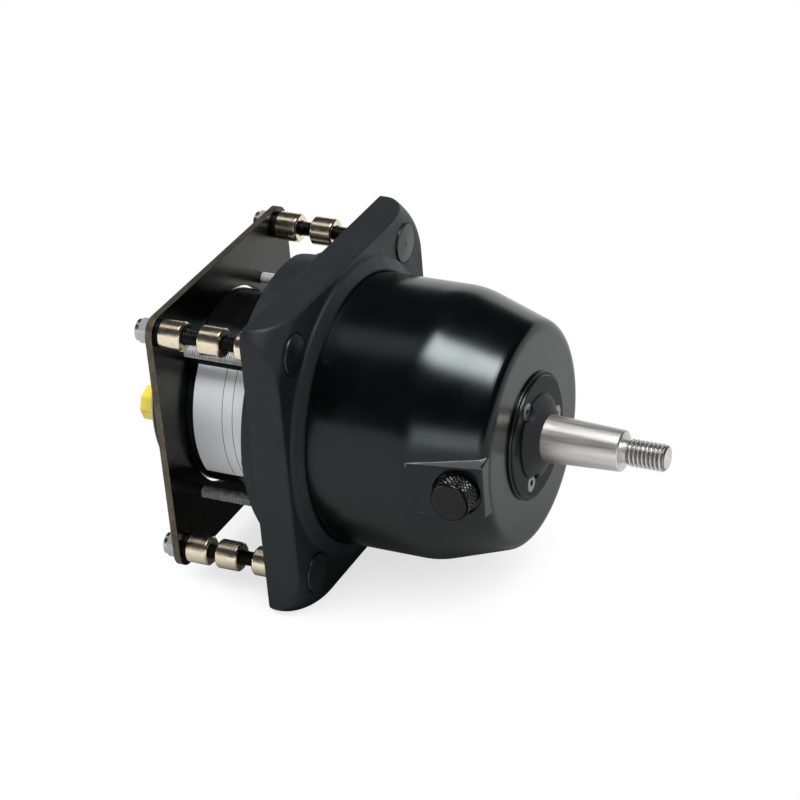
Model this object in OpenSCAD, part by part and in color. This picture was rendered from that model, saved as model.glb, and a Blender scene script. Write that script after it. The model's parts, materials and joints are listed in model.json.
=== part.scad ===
// Hydraulic helm pump with its rear mounting kit, in millimetres.
// The shaft lies along +X with its threaded end to the front, and X = 0 is the flange's back face.

/* [Nose housing] */
// Outer diameter of the round part of the nose
nose_d = 110.5; // [106:0.5:116]
// Distance from the flange's back face to the ridge where the taper starts
ridge_x = 60; // [52:1:66]
// Distance from the flange's back face to the flat front face
front_x = 91; // [86:1:100]
// Diameter where the taper meets the front face, before rounding
front_d = 90.4; // [84:0.2:96]
// Rounding of the front edge
front_round = 4; // [2:0.5:6]
// Wall of the nose
nose_wall = 5.25; // [4:0.25:6.5]
// Thickness of the front wall
front_wall = 8; // [7:0.5:9]

/* [Filler] */
// Distance from the flange's back face to the filler plug's axis
filler_x = 80.3; // [79:0.1:82]
// Width of the filler boss at its flat face
filler_boss_w = 21.5; // [20:0.1:24]
// Diameter of the filler plug's knob
knob_d = 16; // [14:0.5:17]
// Height of the knob
knob_h = 9; // [7:0.5:12]
// Diameter of the filler plug's thread
filler_thread_d = 12; // [10:0.5:12]

/* [Flange] */
// Side of the square flange
flange_w = 128; // [124:1:134]
// Thickness of the flange at the middle of each side
flange_t = 15; // [14:0.5:18]
// Rounding that draws the corners back towards the dash
flange_edge_r = 13; // [10:0.5:13]
// Depth of the round skirt behind the flange
skirt_depth = 8; // [7:0.5:9]
// Height of the sloped collar round the nose
collar_h = 3.6; // [2:0.2:5]

/* [Mounting kit] */
// Gap between the flange's collar and the bolt caps
bolt_gap = 0.55; // [0.3:0.05:2]
// Diameter of the corner bolts
bolt_d = 6; // [5:0.5:6]
// Distance from the flange's back face to the front of the back plate
plate_gap = 43.5; // [42:0.5:48]
// Thickness of the back plate
plate_t = 3; // [2:0.5:4]
// Distance of the corner bolts from the back plate's sides
plate_margin = 7.5; // [7:0.5:10]
// Diameter of a spacer collar
spacer_d = 12; // [11:0.5:12.5]
// Length of a spacer collar
spacer_len = 10; // [8:0.5:10]
// Gap between the barrel and the plate studs
stud_gap = 3.9; // [3:0.1:4.5]
// Diameter of the plate studs
stud_d = 5; // [4:0.5:5]

/* [Pump] */
// Outer diameter of the pump barrel
barrel_d = 80; // [78:0.5:81]
// Thickness of the rear cover
cover_t = 16; // [15:0.5:18]
// Number of pistons
pistons_n = 7; // [5:2:7]
// Tilt of the swash plate, in degrees
swash_tilt = 8; // [6:0.5:9]

/* [Shaft] */
// Diameter at the large end of the taper
taper_d = 19.05; // [18.6:0.05:19.2]
// Length of the taper
taper_len = 31.5; // [28:0.5:36]
// Length over which the taper loses one millimetre of diameter
taper_ratio = 12; // [10:1:16]
// Diameter of the thread on the end
thread_d = 11.1; // [10:0.1:12]
// Length of the threaded end, with its undercut
thread_len = 18; // [14:0.5:22]

/* [Hidden] */
$fn = 96;
small_fn = 48;

// Shared clearances
slip = 0.15;
running = 0.05;
close = 0.02;
bolt_play = 0.3;
cut = 1;

// Nose housing
nose_r = nose_d / 2;
front_r = front_d / 2;
rim_h = 4;
rim_out = 2.75;
rim_r = nose_r + rim_out;
knee_blend = 5;
blend_steps = 6;
cavity_r = nose_r - nose_wall;
cavity_end_x = front_x - front_wall;
cavity_ridge_back = 2;
cavity_ridge_x = ridge_x - cavity_ridge_back;
cavity_end_r = radius_on_taper(cavity_end_x) - nose_wall;

// Front bearing, its seat and its clips
bearing_w = 12;
bearing_bore_r = 10;
bearing_out_r = 21;
ball_r = 3.2;
ball_track_r = (bearing_bore_r + bearing_out_r) / 2;
ball_n = 9;
race_play = 0.05;
race_gap = 2.3;
bearing_set_back = 10;
bearing_front_x = front_x - bearing_set_back;
bearing_rear_x = bearing_front_x - bearing_w;
bearing_boss_wall = 6;
bearing_boss_r = bearing_out_r + bearing_boss_wall;
circlip_t = 1.5;
circlip_depth = 1.2;
circlip_width = 2.6;
bearing_boss_lip = 3.5;
boss_rear_x = bearing_rear_x - bearing_boss_lip;

// Seal and its retainer
seal_r = 14.7;
seal_depth = 5;
seal_rear_x = front_x - seal_depth;
seal_bore_r = seal_r + close;
retainer_r = 26;
retainer_step_r = 24.6;
retainer_h = 2;
retainer_step_h = 0.9;
retainer_bevel = 0.3;
retainer_screw_r = 18.5;
retainer_screws_n = 3;
screw_r = 2;
csk_head_r = 3.6;
csk_head_h = 1.8;
screw_len = 6;
hex_key_r = 1.4;
hex_key_depth = 1.2;
seal_nose_h = 4.4;
seal_nose_r = 10.4;
seal_lip_r = 17.4;
seal_lip_h = 0.8;
seal_lip_bevel = 0.4;
seal_notch_gap = 0.5;
seal_notch_r = csk_head_r + seal_notch_gap;

// Filler boss, plug and seal
filler_face_sink = 2.03;
filler_face_back = nose_r - filler_face_sink;
filler_face_ahead = 4;
filler_face_ref_x = ridge_x + filler_face_ahead;
filler_face_slope = 0.171;
filler_boss_step = 0.3;
filler_boss_front_x = front_x - filler_boss_step;
filler_boss_depth = 17.3;
filler_boss_inner = filler_face_back - filler_boss_depth;
filler_boss_shift = 1.35;
filler_boss_draft = 0.25;
filler_boss_corner = 1.2;
filler_boss_edge = 0.6;
filler_shift = 0.4;
filler_pocket_depth = 3;
filler_floor_y = filler_face_y(filler_x) - filler_pocket_depth;
filler_wall = 1.35;
filler_pocket_r = filler_boss_w / 2 - filler_wall;
filler_stem_r = filler_thread_d / 2;
filler_stem_len = 8;
filler_seal_t = 1.4;
filler_seal_inset = 0.4;
filler_seal_r = knob_d / 2 - filler_seal_inset;
knob_base_y = filler_floor_y + filler_seal_t;
knob_dome = 0.8;
knob_edge = 0.7;
knurl_n = 24;
knurl_r = 0.5;

// Flange
flange_half = flange_w / 2;
flange_corner_r = 5;
flange_disc_trim = 2.5;
flange_disc_r = flange_half * sqrt(2) - flange_disc_trim;
flange_flat_r = flange_disc_r - flange_edge_r;
collar_w_out = 6.2;
collar_w_in = 1.1;
collar_out_r = nose_r + collar_w_out;
collar_in_r = nose_r + collar_w_in;
collar_edge = 0.9;
rim_seat_r = rim_r + slip;
skirt_wall = 1.85;
skirt_r = rim_seat_r + skirt_wall;
skirt_edge = 0.9;
tongue_reach = 5.8;
tongue_depth = skirt_depth + tongue_reach;
tongue_near = 40;
tongue_far = 14;
tongue_corner = 6;
cap_r = 8;
cap_rise = 1.1;
cap_sink = 2.5;
cap_seat_x = flange_t - cap_sink;
cap_edge = 0.6;
head_h = 6;
head_r = 5;
head_room = 0.5;
head_seat_x = cap_seat_x - head_h - head_room;
head_key_r = 2.9;
head_key_depth = 3.2;
spacer_seat_depth = 1.6;

// Bolts, spacers, washers and nuts
bolt_half = (collar_out_r + bolt_gap + cap_r) / sqrt(2);
bolt_r = bolt_d / 2;
spacer_r = spacer_d / 2;
spacer_chamfer = 0.7;
washer_t = 1;
washer_inset = 0.4;
washer_r = spacer_r - washer_inset;
plate_front_x = -plate_gap;
plate_back_x = plate_front_x - plate_t;
plate_w = 2 * (bolt_half + plate_margin);
nut_af = 10;
nut_h = 4.6;
nut_crown_h = 1.9;
nut_crown_r = 4.5;
nut_insert_h = 1.6;
nut_insert_r = 3.9;
nut_chamfer_out = 0.15;
nut_chamfer_r = nut_af / 2 + nut_chamfer_out;
bolt_out = 0.9;
bolt_end_x = plate_back_x - nut_h - nut_crown_h - bolt_out;
plate_corner_r = 7;
// Corners in the order near top, far top, near bottom, far bottom
corners = [[-1, 1], [1, 1], [-1, -1], [1, -1]];
// Gaps between the loose spacers and the flange's back face, corner by corner
middle_stand_off = [15, 16.2, 18.7, 16.5];
front_stand_off = [-1.4, -1, 1.9, 0];

// Plate studs
stud_r = stud_d / 2;
stud_half = (barrel_d / 2 + stud_gap + stud_r) / sqrt(2);
stud_front_x = -1;
stud_nut_h = 4;
stud_nut_af = 8;
stud_out = 1.5;
stud_end_x = plate_back_x - stud_nut_h - stud_out;

// Pump body, rear cover and their fasteners
barrel_r = barrel_d / 2;
barrel_wall = 6.5;
pump_bore_r = barrel_r - barrel_wall;
disc_t = 6;
disc_r = rim_r;
cover_set_back = 0.5;
cover_front_x = plate_front_x - cover_set_back;
cover_rear_x = cover_front_x - cover_t;
cover_bevel = 1.2;
cover_screw_inset = 3.7;
cover_screw_pcr = barrel_r - cover_screw_inset;
cover_screws_n = 6;
cover_screw_turn = 30;
cover_screw_len = 24;
cap_head_r = 3.5;
cap_head_h = 4;
cap_head_sink = 3;
housing_screws_n = 6;
housing_screw_pcr = (cavity_r + nose_r) / 2;
housing_screw_depth = 10;
spigot_r = cavity_r - slip;
spigot_h = 5;
spigot_wall = 4.85;
ring_section_r = 0.9;
ring_groove_w = 2.4;
ring_groove_depth = 1.85;
ring_groove_r = spigot_r - ring_groove_depth;
ring_x = spigot_h / 2;
plate_hole_gap = 1;
plate_hole_r = barrel_r + plate_hole_gap;
label_t = 0.3;
label_set_in = 3.5;
label_rear_x = plate_front_x + label_set_in;
label_len = 26;
label_from = -31.5;
label_to = 40.7;

// Ports on the rear cover
port_r = 6.5;
port_depth = 9;
cap_flange_r = 8.7;
port_cap_gap = 0.1;
port_pcr = cover_screw_pcr - cap_head_r - cap_flange_r - port_cap_gap;
ports = [[-port_pcr, 0], [0, port_pcr], [0, -port_pcr]];
cap_flange_t = 2.2;
cap_grip_r = 7.4;
cap_grip_h = 8;
cap_plug_len = 6;
cap_sides = 8;

// Lock valve, across the rear cover along Z
valve_x = cover_front_x - cover_t / 2;
valve_y = 14;
valve_bore_r = 6;
valve_plug_sink = 1.5;
valve_half = sqrt(pow(barrel_r, 2) - pow(valve_y, 2)) - valve_plug_sink;
spool_half = 10;
spool_neck_r = 3.6;
spool_pin_r = 1.6;
spool_pin_end = 16;
seat_from = 14;
seat_to = 17;
seat_hole_r = 2.6;
seat_play = 0.01;
poppet_r = 4;
poppet_cone_h = 3;
poppet_len = 4;
poppet_stem_r = 1.6;
poppet_tail_z = seat_to + running + poppet_cone_h + poppet_len;
valve_plug_len = 5.5;
spring_room_end = valve_half - valve_plug_len;
poppet_stem_share = 0.375;
poppet_stem_end = mix(poppet_tail_z, spring_room_end, poppet_stem_share);
spring_wire_r = 0.45;
spring_coils = 4;
spring_sides = 6;
spring_steps = 9;

// Shaft stations
seal_journal_r = taper_d / 2;
taper_gap = 0.2;
taper_rear_x = front_x + retainer_h + seal_nose_h + taper_gap;
taper_front_x = taper_rear_x + taper_len;
taper_small_r = (taper_d - taper_len / taper_ratio) / 2;
taper_chamfer = 0.5;
undercut_len = 2;
undercut_depth = 0.9;
thread_r = thread_d / 2;
undercut_r = thread_r - undercut_depth;
thread_end_x = taper_front_x + thread_len;
thread_chamfer = 1.2;
shaft_shoulder_r = 11.5;
shaft_shoulder_h = 2;
shaft_mid_r = 9.8;
rotor_seat_r = 8;
rotor_flat = 6.4;
shaft_tail_r = 6;
bush_r = 8;
bush_len = 6;

// Rotating group
valve_plate_t = 3;
valve_plate_r = pump_bore_r - slip;
rotor_gap = 3.5;
rotor_r = pump_bore_r - rotor_gap;
rotor_rear_x = cover_front_x + valve_plate_t + running;
rotor_front_x = -12;
piston_inset = 8;
piston_pcr = rotor_r - piston_inset;
piston_r = 4;
rotor_floor = 5;
piston_bore_rear_x = rotor_rear_x + rotor_floor;
piston_len = 21;
piston_tip_x = -7.2;
piston_rear_x = piston_tip_x - piston_len;
piston_feed_r = 1.8;
piston_spring_r = 3.3;
kidney_r = 2.2;
kidney_half_angle = 62;
valve_hole_r = 10;
dowel_r = 1.5;
dowel_len = 4;
dowel_out = 6;
dowel_pcr = piston_pcr + dowel_out;

// Swash plate and its thrust bearing, tilted about Y through a point on the axis
swash_r = spigot_r - spigot_wall - slip;
swash_front_x = 15;
swash_floor_x = 6;
swash_pocket_step = 2;
swash_pocket_r = pump_bore_r - swash_pocket_step;
swash_screws_n = 3;
swash_screw_turn = 90;
swash_screw_pcr = (swash_pocket_r + swash_r) / 2;
race_side_gap = 0.3;
race_out_r = swash_pocket_r - race_side_gap;
race_w = 13.7;
race_in_r = race_out_r - race_w;
race_track_in = 7.7;
swash_hole_step = 3.5;
swash_hole_r = race_in_r - swash_hole_step;
race_t = 2.4;
thrust_ball_r = 2.4;
thrust_ball_n = 16;
thrust_track_r = race_out_r - race_track_in;
thrust_groove = 0.9;
race_space = 2 * (thrust_ball_r - thrust_groove);

// Radius of the nose's taper at a distance from the dash
function radius_on_taper(x) = nose_r - (nose_r - front_r) * (x - ridge_x) / (front_x - ridge_x);

// Distance of the filler boss's flat face from the shaft axis
function filler_face_y(x) = filler_face_back - (x - filler_face_ref_x) * filler_face_slope;

// Point that is a share of the way from one point to another
function mix(a, b, t) = a + (b - a) * t;

// Point at a set distance from one point towards another
function towards(a, b, d) = a + (b - a) * d / norm(b - a);

// Rounded corner between two edges, as points on a quadratic curve
function rounded(before, corner, after, size) =
    let (p = towards(corner, before, size), q = towards(corner, after, size))
    [for (i = [0:blend_steps])
        let (t = i / blend_steps)
        mix(mix(p, corner, t), mix(corner, q, t), t)];

// Solid of revolution about the shaft axis, from [radius, x] points
module turned(points) {
    rotate([0, 90, 0])
        rotate_extrude()
            polygon(points);
}

// Cylinder along X between two stations
module rod(from_x, to_x, r, fn = $fn) {
    translate([from_x, 0, 0])
        rotate([0, 90, 0])
            cylinder(h = to_x - from_x, r = r, $fn = fn);
}

// Copies at the four corners of a square in the YZ plane
module at_corners(half) {
    for (c = corners)
        translate([0, c[0] * half, c[1] * half])
            children();
}

// Copies evenly spaced round the shaft axis, the first one on +Y
module round_axis(n, radius, turn = 0) {
    for (i = [0:n - 1])
        rotate([turn + 360 * i / n, 0, 0])
            translate([0, radius, 0])
                children();
}

// Square prism along X with rounded long edges
module square_bar(from_x, to_x, side, r) {
    inner = side - 2 * r;
    translate([(from_x + to_x) / 2, 0, 0]) {
        cube([to_x - from_x, inner, side], center = true);
        cube([to_x - from_x, side, inner], center = true);
    }
    at_corners(inner / 2)
        rod(from_x, to_x, r, small_fn);
}

// Hexagonal bar along X, given across its flats
module hex_bar(from_x, to_x, across_flats) {
    rod(from_x, to_x, across_flats / sqrt(3), 6);
}

// Frame of the swash plate: local X is the tilted axis and local 0 is its pocket floor
module tilted() {
    translate([swash_floor_x, 0, 0])
        rotate([0, swash_tilt, 0])
            children();
}

// Coil spring along X as a tube swept round a helix
module coil_spring(from_x, to_x, r, wire_r, coils) {
    n = coils * spring_steps;
    length = to_x - from_x - 2 * wire_r;
    function ring(i) =
        let (a = 360 * i / spring_steps)
        [for (k = [0:spring_sides - 1])
            let (b = 360 * k / spring_sides, d = r - wire_r + wire_r * cos(b))
            [from_x + wire_r + length * i / n + wire_r * sin(b), d * cos(a), d * sin(a)]];
    points = [for (i = [0:n]) each ring(i)];
    sides = [for (i = [0:n - 1], k = [0:spring_sides - 1])
        let (k2 = (k + 1) % spring_sides)
        [i * spring_sides + k, i * spring_sides + k2,
         (i + 1) * spring_sides + k2, (i + 1) * spring_sides + k]];
    first = [for (k = [0:spring_sides - 1]) spring_sides - 1 - k];
    last = [for (k = [0:spring_sides - 1]) n * spring_sides + k];
    polyhedron(points, concat(sides, [first, last]));
}

// Cap screw along X: the head ends at head_x and the shank points towards +X
module cap_screw(head_x, length, shank_r) {
    difference() {
        union() {
            rod(head_x, head_x + cap_head_h, cap_head_r, small_fn);
            rod(head_x, head_x + cap_head_h + length, shank_r, small_fn);
        }
        rod(head_x - cut, head_x + cap_head_h / 2, cap_head_r / 2, 6);
    }
}

// Painted casting with a tapered front, a filler boss and a seat for the front bearing
module nose_housing() {
    ridge = [nose_r, ridge_x];
    edge = [front_r, front_x];
    outline = concat(
        [[0, 0], [rim_r, 0], [rim_r, rim_h], [nose_r, rim_h]],
        rounded([nose_r, rim_h], ridge, edge, knee_blend),
        rounded(ridge, edge, [0, front_x], front_round),
        [[0, front_x]]);
    color("#1b1d1f")
    difference() {
        union() {
            difference() {
                union() {
                    turned(outline);
                    filler_boss();
                }
                turned([[0, -cut], [cavity_r, -cut], [cavity_r, cavity_ridge_x],
                    [cavity_end_r, cavity_end_x], [0, cavity_end_x]]);
            }
            rod(boss_rear_x, cavity_end_x + cut, bearing_boss_r);
        }
        rod(boss_rear_x - cut, bearing_front_x, bearing_out_r);
        rod(cavity_end_x - cut, front_x + cut, seal_bore_r);
        rod(bearing_front_x - cut, seal_rear_x - cut, seal_bore_r + cut);
        turned(clip_groove(bearing_out_r, bearing_rear_x, circlip_depth));
        filler_axis() {
            cylinder(h = filler_boss_inner * 2, r = filler_stem_r + slip);
            translate([0, 0, filler_floor_y])
                cylinder(h = knob_h * 2, r = filler_pocket_r);
        }
        round_axis(retainer_screws_n, retainer_screw_r)
            rod(front_x - screw_len - cut, front_x + cut, screw_r + close, small_fn);
        round_axis(housing_screws_n, housing_screw_pcr)
            rod(-cut, housing_screw_depth, screw_r + close, small_fn);
    }
}

// Section of a groove for an inner circlip, as [radius, x] points
function clip_groove(bore_r, face_x, depth) =
    [[bore_r - cut, face_x - circlip_t - close], [bore_r + depth, face_x - circlip_t - close],
     [bore_r + depth, face_x], [bore_r - cut, face_x]];

// Flat-sided boss that carries the filler plug, standing out of the taper
module filler_boss() {
    back_x = ridge_x + cut;
    side = filler_boss_w / 2;
    deep = 2 * filler_boss_depth;
    foot = side + deep * filler_boss_draft;
    front_edge = [filler_boss_front_x, -filler_face_y(filler_boss_front_x)];
    back_edge = [back_x, -filler_face_y(back_x)];
    front_foot = [filler_boss_front_x, -filler_boss_inner];
    difference() {
        intersection() {
            translate([0, 0, filler_boss_shift])
                linear_extrude(2 * foot, center = true)
                    polygon(concat([[back_x, -filler_boss_inner], back_edge],
                        rounded(back_edge, front_edge, front_foot, filler_boss_corner),
                        [front_foot]));
            translate([filler_face_ref_x, -filler_face_back, filler_boss_shift])
                rotate([0, 0, atan(filler_face_slope)])
                    rotate([90, 0, 90])
                        linear_extrude(2 * front_x, center = true)
                            polygon(concat([[deep, foot], [deep, -foot]],
                                rounded([deep, -foot], [0, -side], [0, side], filler_boss_edge),
                                rounded([0, -side], [0, side], [deep, foot], filler_boss_edge)));
        }
        rod(0, front_x + cut, filler_boss_inner + cut);
    }
}

// Frame of the filler: local Z points out of the nose along -Y
module filler_axis() {
    translate([filler_x, 0, filler_shift])
        rotate([90, 0, 0])
            children();
}

// Moulded square flange with drawn-back corners, a sloped collar and a round skirt with a tongue
module mounting_flange() {
    color("#23272a")
    difference() {
        union() {
            intersection() {
                square_bar(0, flange_t, flange_w, flange_corner_r);
                rotate([0, 90, 0])
                    rotate_extrude() {
                        square([flange_flat_r, flange_t]);
                        square([flange_disc_r, flange_t - flange_edge_r]);
                        translate([flange_flat_r, flange_t - flange_edge_r])
                            intersection() {
                                circle(r = flange_edge_r);
                                square(flange_edge_r + cut);
                            }
                    }
            }
            turned([[0, 0], [collar_out_r, 0], [collar_out_r, flange_t + collar_edge],
                [collar_in_r, flange_t + collar_h], [0, flange_t + collar_h]]);
            turned([[0, cut], [skirt_r, cut], [skirt_r, skirt_edge - skirt_depth],
                [skirt_r - skirt_edge, -skirt_depth], [0, -skirt_depth]]);
            skirt_tongue();
        }
        rod(-tongue_depth - cut, flange_t + collar_h + cut, nose_r + slip);
        rod(-tongue_depth - cut, rim_h, rim_seat_r);
        at_corners(bolt_half) {
            rod(-cut, flange_t, bolt_r + bolt_play, small_fn);
            rod(-cut, spacer_seat_depth, spacer_r + bolt_play, small_fn);
            rod(head_seat_x, flange_t, head_r + bolt_play, small_fn);
            rod(cap_seat_x, flange_t + collar_h, cap_r + slip);
        }
    }
}

// Deeper part of the skirt over the top of the pump, before it is bored
module skirt_tongue() {
    near_end = [-tongue_depth, -tongue_near];
    far_end = [-tongue_depth, tongue_far];
    intersection() {
        rod(-tongue_depth - cut, cut, skirt_r);
        linear_extrude(height = skirt_r + cut)
            polygon(concat([[0, -tongue_near]],
                rounded([0, -tongue_near], near_end, far_end, tongue_corner),
                rounded(near_end, far_end, [0, tongue_far], tongue_corner),
                [[0, tongue_far]]));
    }
}

// Domed caps that hide the bolt heads
module bolt_caps() {
    color("#1f2224")
    at_corners(bolt_half)
        turned(concat(
            [[0, cap_seat_x], [cap_r, cap_seat_x]],
            rounded([cap_r, cap_seat_x], [cap_r, flange_t + cap_edge], [0, flange_t + cap_rise], cap_edge),
            [[0, flange_t + cap_rise]]));
}

// Socket head bolts through the flange and the back plate
module corner_bolts() {
    color("#26262a")
    at_corners(bolt_half)
        difference() {
            union() {
                rod(head_seat_x, head_seat_x + head_h, head_r, small_fn);
                rod(bolt_end_x, head_seat_x + cut, bolt_r, small_fn);
            }
            rod(head_seat_x + head_h - head_key_depth, head_seat_x + head_h + cut, head_key_r, 6);
        }
}

// Spacer collar along X with chamfered ends
module spacer(from_x) {
    to_x = from_x + spacer_len;
    bore_r = bolt_r + bolt_play;
    turned([[bore_r, from_x], [spacer_r - spacer_chamfer, from_x], [spacer_r, from_x + spacer_chamfer],
        [spacer_r, to_x - spacer_chamfer], [spacer_r - spacer_chamfer, to_x], [bore_r, to_x]]);
}

// Collars that sit on the washers at the back plate
module rear_spacers() {
    color("#b8a877")
    at_corners(bolt_half)
        spacer(plate_front_x + washer_t);
}

// Loose collars about half way along the bolts
module middle_spacers() {
    color("#b8a877")
    for (i = [0:3])
        translate([0, corners[i][0] * bolt_half, corners[i][1] * bolt_half])
            spacer(-spacer_len - middle_stand_off[i]);
}

// Collars at the flange, some of them pushed into its seats
module front_spacers() {
    color("#b8a877")
    for (i = [0:3])
        translate([0, corners[i][0] * bolt_half, corners[i][1] * bolt_half])
            spacer(-spacer_len - front_stand_off[i]);
}

// Thin washers between the back plate and the rear spacers
module plate_washers() {
    color("#1c1c1e")
    at_corners(bolt_half)
        difference() {
            rod(plate_front_x, plate_front_x + washer_t, washer_r, small_fn);
            rod(plate_front_x - cut, plate_front_x + washer_t + cut, bolt_r + bolt_play, small_fn);
        }
}

// Square steel plate that clamps the dash from behind
module back_plate() {
    color("#4c463a")
    difference() {
        square_bar(plate_back_x, plate_front_x, plate_w, plate_corner_r);
        rod(plate_back_x - cut, plate_front_x + cut, plate_hole_r);
        at_corners(bolt_half)
            rod(plate_back_x - cut, plate_front_x + cut, bolt_r + bolt_play, small_fn);
        at_corners(stud_half)
            rod(plate_back_x - cut, plate_front_x + cut, stud_r + slip, small_fn);
    }
}

// Self-locking nuts on the corner bolts
module lock_nuts() {
    back_x = plate_back_x - nut_h - nut_crown_h;
    color("#c9cbcd")
    at_corners(bolt_half)
        difference() {
            union() {
                intersection() {
                    hex_bar(plate_back_x - nut_h, plate_back_x, nut_af);
                    turned([[0, plate_back_x], [nut_af, plate_back_x],
                        [nut_af, plate_back_x - nut_h + nut_af - nut_chamfer_r],
                        [nut_chamfer_r, plate_back_x - nut_h], [0, plate_back_x - nut_h]]);
                }
                rod(back_x, plate_back_x - nut_h + cut, nut_crown_r, small_fn);
            }
            rod(back_x - cut, plate_back_x + cut, bolt_r + close, small_fn);
            rod(back_x + nut_crown_h / 4, back_x + nut_crown_h / 4 + nut_insert_h, nut_insert_r, small_fn);
        }
}

// Plastic rings that lock the nuts
module nut_inserts() {
    from_x = plate_back_x - nut_h - nut_crown_h * 3 / 4;
    color("#e6e6e2")
    at_corners(bolt_half)
        difference() {
            rod(from_x, from_x + nut_insert_h, nut_insert_r - close, small_fn);
            rod(from_x - cut, from_x + nut_insert_h + cut, bolt_r + close, small_fn);
        }
}

// Threaded studs from the pump body to the back plate
module plate_studs() {
    color("#bfc1c3")
    at_corners(stud_half)
        rod(stud_end_x, stud_front_x, stud_r, small_fn);
}

// Nuts that hold the back plate on the studs
module stud_nuts() {
    color("#c4c6c8")
    at_corners(stud_half)
        difference() {
            hex_bar(plate_back_x - stud_nut_h, plate_back_x, stud_nut_af);
            rod(plate_back_x - stud_nut_h - cut, plate_back_x + cut, stud_r + close, small_fn);
        }
}

// Cast barrel with the disc that closes the nose
module pump_body() {
    color("#17181a")
    difference() {
        union() {
            rod(cover_front_x, -cut, barrel_r);
            rod(-disc_t, 0, disc_r);
            rod(-cut, spigot_h, spigot_r);
        }
        rod(cover_front_x - cut, spigot_h + cut, pump_bore_r);
        rod(0, spigot_h + cut, spigot_r - spigot_wall);
        turned([[ring_groove_r, ring_x - ring_groove_w / 2], [spigot_r + cut, ring_x - ring_groove_w / 2],
            [spigot_r + cut, ring_x + ring_groove_w / 2], [ring_groove_r, ring_x + ring_groove_w / 2]]);
        at_corners(stud_half)
            rod(-disc_t - cut, stud_front_x, stud_r + close, small_fn);
        round_axis(housing_screws_n, housing_screw_pcr)
            rod(-disc_t - cut, cut, screw_r + slip, small_fn);
        round_axis(swash_screws_n, swash_screw_pcr, swash_screw_turn)
            rod(-disc_t + cut, cut, screw_r + close, small_fn);
        round_axis(cover_screws_n, cover_screw_pcr, cover_screw_turn)
            rod(cover_front_x - cut, cover_front_x + cover_screw_len, screw_r + close, small_fn);
    }
}

// Rear cover with three ports and the bore of the lock valve
module rear_cover() {
    color("#141516")
    difference() {
        turned([[0, cover_front_x], [barrel_r, cover_front_x], [barrel_r, cover_rear_x + cover_bevel],
            [barrel_r - cover_bevel, cover_rear_x], [0, cover_rear_x]]);
        rod(cover_front_x - bush_len, cover_front_x + cut, bush_r + close, small_fn);
        for (p = ports)
            translate([0, p[0], p[1]])
                rod(cover_rear_x - cut, cover_rear_x + port_depth, port_r, small_fn);
        translate([valve_x, valve_y, 0])
            cylinder(h = 2 * barrel_r, r = valve_bore_r, center = true, $fn = small_fn);
        round_axis(cover_screws_n, cover_screw_pcr, cover_screw_turn) {
            rod(cover_rear_x - cut, cover_front_x + cut, screw_r + slip, small_fn);
            rod(cover_rear_x - cut, cover_rear_x + cap_head_sink, cap_head_r + slip, small_fn);
        }
        round_axis(2, dowel_pcr)
            rod(cover_front_x - dowel_len / 2, cover_front_x + cut, dowel_r + close, small_fn);
    }
}

// Screws that hold the rear cover on the barrel
module cover_screws() {
    head_x = cover_rear_x + cap_head_sink - cap_head_h;
    color("#2a2a2c")
    round_axis(cover_screws_n, cover_screw_pcr, cover_screw_turn)
        cap_screw(head_x, cover_front_x + cover_screw_len - cut - head_x - cap_head_h, screw_r);
}

// Screws that hold the pump body on the nose
module housing_screws() {
    color("#2a2a2c")
    round_axis(housing_screws_n, housing_screw_pcr)
        cap_screw(-disc_t - cap_head_h, disc_t + housing_screw_depth - cut, screw_r);
}

// Sealing ring between the pump body's spigot and the nose
module body_seal_ring() {
    color("#101010")
    translate([ring_x, 0, 0])
        rotate([0, 90, 0])
            rotate_extrude()
                translate([spigot_r - ring_section_r, 0])
                    circle(r = ring_section_r, $fn = small_fn);
}

// Thin metal label wrapped part of the way round the barrel
module rating_label() {
    color("#cfd2d3")
    rotate([-label_to, 0, 0])
        rotate([90, 0, 90])
            translate([0, 0, label_rear_x])
                rotate([0, 0, 180])
                    rotate_extrude(angle = label_to - label_from)
                        translate([barrel_r + close, 0])
                            square([label_t, label_len]);
}

// Transport caps pushed into the ports
module transport_caps() {
    color("#e8cf4a")
    for (p = ports)
        translate([0, p[0], p[1]]) {
            rod(cover_rear_x - cap_flange_t, cover_rear_x, cap_flange_r, small_fn);
            rod(cover_rear_x - cut, cover_rear_x + cap_plug_len, port_r - slip, small_fn);
            rod(cover_rear_x - cap_flange_t - cap_grip_h, cover_rear_x - cut, cap_grip_r, cap_sides);
        }
}

// Stepped disc on the front face that holds the shaft seal
module seal_retainer() {
    top_x = front_x + retainer_h;
    step_x = top_x - retainer_step_h;
    color("#1c1e20")
    difference() {
        turned([[seal_r + close, front_x], [retainer_r, front_x], [retainer_r, step_x - retainer_bevel],
            [retainer_r - retainer_bevel, step_x], [retainer_step_r, step_x],
            [retainer_step_r, top_x - retainer_bevel], [retainer_step_r - retainer_bevel, top_x],
            [seal_r + close, top_x]]);
        round_axis(retainer_screws_n, retainer_screw_r) {
            rod(front_x - cut, top_x + cut, screw_r + close, small_fn);
            csk_head(top_x, close);
        }
    }
}

// Countersunk head that ends flush at a station
module csk_head(top_x, grow) {
    low_x = top_x - csk_head_h - grow;
    turned([[0, low_x], [screw_r + grow, low_x],
        [csk_head_r + grow, top_x - grow], [csk_head_r + grow, top_x + grow], [0, top_x + grow]]);
}

// Countersunk socket screws in the retainer
module retainer_screws() {
    top_x = front_x + retainer_h;
    color("#b9bcbe")
    round_axis(retainer_screws_n, retainer_screw_r)
        difference() {
            union() {
                csk_head(top_x, 0);
                rod(front_x - screw_len, top_x - csk_head_h + cut, screw_r, small_fn);
            }
            rod(top_x - hex_key_depth, top_x + cut, hex_key_r, 6);
        }
}

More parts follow.
